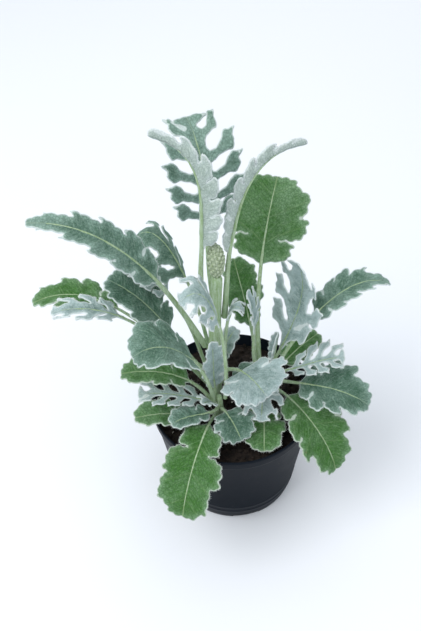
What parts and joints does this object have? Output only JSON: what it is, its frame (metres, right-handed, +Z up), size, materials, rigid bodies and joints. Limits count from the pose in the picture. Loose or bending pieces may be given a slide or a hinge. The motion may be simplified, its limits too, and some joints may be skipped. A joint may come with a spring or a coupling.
{
  "type": "potted dusty miller",
  "caption": "Dusty miller plant with lobed, felted silver and green leaves on three shoots, growing in soil in a round tapered nursery pot.",
  "frame": {"origin": "on the standing surface, under the middle of the plant's bounding box", "axes": "+Z up from the standing surface, +X to the plant's right as seen from its front, +Y to its back"},
  "size_m": [0.2447, 0.1588, 0.3113],
  "materials": {
    "pot_plastic": "satin, blue-black",
    "potting_soil": "crumbly peat, matt",
    "stem_felt": "pale green, felted",
    "silver_felt": "silver leaf felt",
    "teal_felt": "grey-green leaf felt",
    "green_leaf": "green leaf, thinly felted"
  },
  "bodies": {
    "root": {"nursery_pot": "pot_plastic", "potting_soil": "potting_soil", "main_stem": "stem_felt", "front_shoot": "stem_felt", "right_shoot": "stem_felt", "flower_bud": "silver_felt", "tall_back_leaf": "teal_felt", "tall_front_leaf": "silver_felt", "tall_right_leaf": "silver_felt", "long_left_leaf": "teal_felt", "hooded_left_leaf": "teal_felt", "lace_left_leaf": "silver_felt", "back_big_leaf": "green_leaf", "back_mid_leaf": "green_leaf", "arched_centre_leaf": "silver_felt", "right_tall_leaf": "silver_felt", "right_pale_leaf": "silver_felt", "right_long_leaf": "teal_felt", "right_low_back_leaf": "green_leaf", "right_lace_leaf": "silver_felt", "right_mid_leaf": "teal_felt", "right_low_leaf": "green_leaf", "fan_leaf": "silver_felt", "under_fan_leaf": "silver_felt", "front_soil_leaf": "green_leaf", "front_centre_leaf": "teal_felt", "centre_grey_leaf": "silver_felt", "centre_dark_leaf": "teal_felt", "young_leaf": "silver_felt", "front_left_leaf": "green_leaf", "front_left_pale_leaf": "teal_felt", "left_low_green_leaf": "green_leaf", "left_mid_green_leaf": "green_leaf", "left_lace_leaf": "silver_felt", "left_front_big_leaf": "teal_felt", "left_teal_leaf": "teal_felt", "left_white_leaf": "silver_felt", "left_far_green_leaf": "green_leaf", "small_grey_leaf": "silver_felt", "crown_white_leaf": "silver_felt", "upright_grey_leaf": "silver_felt"}
  },
  "joints": []
}
